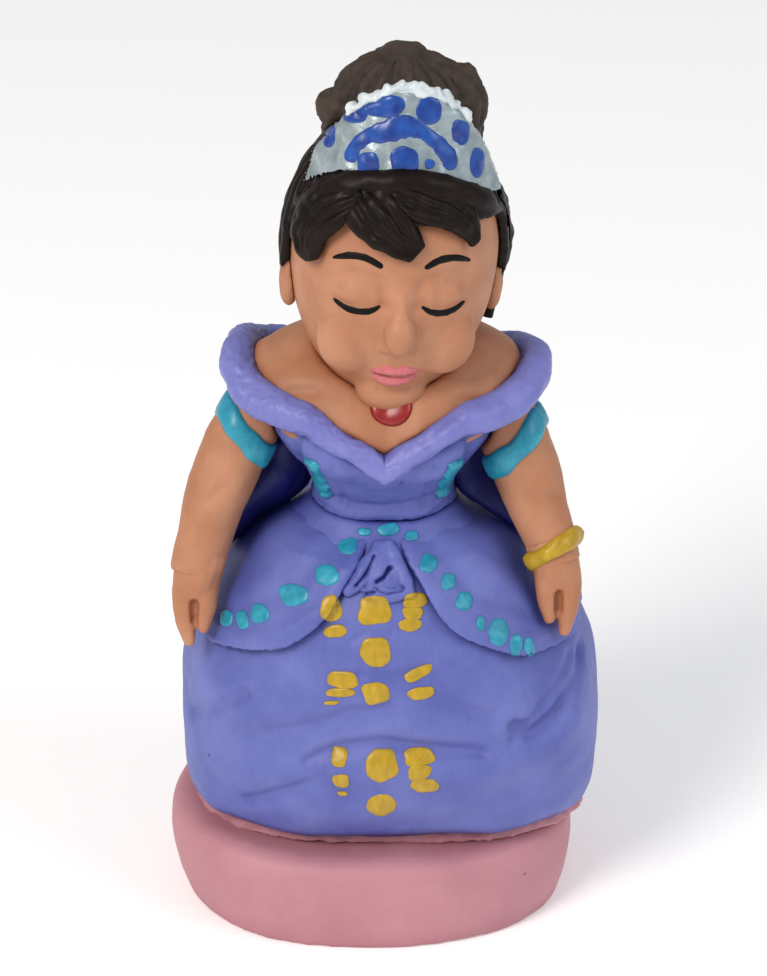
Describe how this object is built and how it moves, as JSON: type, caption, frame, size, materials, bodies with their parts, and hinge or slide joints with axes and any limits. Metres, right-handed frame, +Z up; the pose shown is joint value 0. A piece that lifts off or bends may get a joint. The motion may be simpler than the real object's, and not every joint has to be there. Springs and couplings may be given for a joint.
{
  "type": "painted craft figure",
  "caption": "Small painted craft figure of a lady in a lilac ball gown and tiara, hands at her skirt, on an oval pink plinth.",
  "frame": {"origin": "centre of the figure's footprint on the plinth's underside, the middle of the bounding box", "axes": "+Z up; the figure faces -Y; +X is to the right of a viewer who looks at its face"},
  "size_m": [0.0434, 0.0324, 0.0884],
  "materials": {
    "pink_paint": "matt acrylic paint over a moulded body",
    "lilac_paint": "matt acrylic paint over a moulded body",
    "skin_paint": "matt acrylic paint over a moulded body",
    "hair_paint": "satin varnished acrylic paint",
    "turquoise_paint": "satin acrylic paint",
    "gold_paint": "satin acrylic paint",
    "red_paint": "satin acrylic paint",
    "pink_lip_paint": "matt acrylic paint",
    "black_line_paint": "satin acrylic paint",
    "blue_paint": "satin acrylic paint",
    "silver_paint": "metallic acrylic paint",
    "raw_wood": "bare turned wood",
    "iron_wire": "annealed iron wire"
  },
  "bodies": {
    "root": {"arm_left": "skin_paint", "arm_right": "skin_paint", "arm_wire_left": "iron_wire", "arm_wire_right": "iron_wire", "armband_left": "turquoise_paint", "armband_right": "turquoise_paint", "bodice": "lilac_paint", "bodice_trim_left": "turquoise_paint", "bodice_trim_right": "turquoise_paint", "bracelet": "gold_paint", "bun": "hair_paint", "bust": "skin_paint", "collar_roll_left": "lilac_paint", "collar_roll_right": "lilac_paint", "core_dowel": "raw_wood", "ear_left": "skin_paint", "ear_right": "skin_paint", "fringe_lock_centre": "hair_paint", "fringe_lock_left": "hair_paint", "fringe_lock_right": "hair_paint", "front_gather": "lilac_paint", "hair_cap": "hair_paint", "hand_left": "skin_paint", "hand_right": "skin_paint", "head": "skin_paint", "pendant": "red_paint", "plinth": "pink_paint", "side_lock_right": "hair_paint", "skirt_body": "lilac_paint", "skirt_joint_bead": "pink_paint", "swag_left": "lilac_paint", "swag_right": "lilac_paint", "tiara": "silver_paint", "tiara_pearls": "silver_paint"}
  },
  "joints": []
}
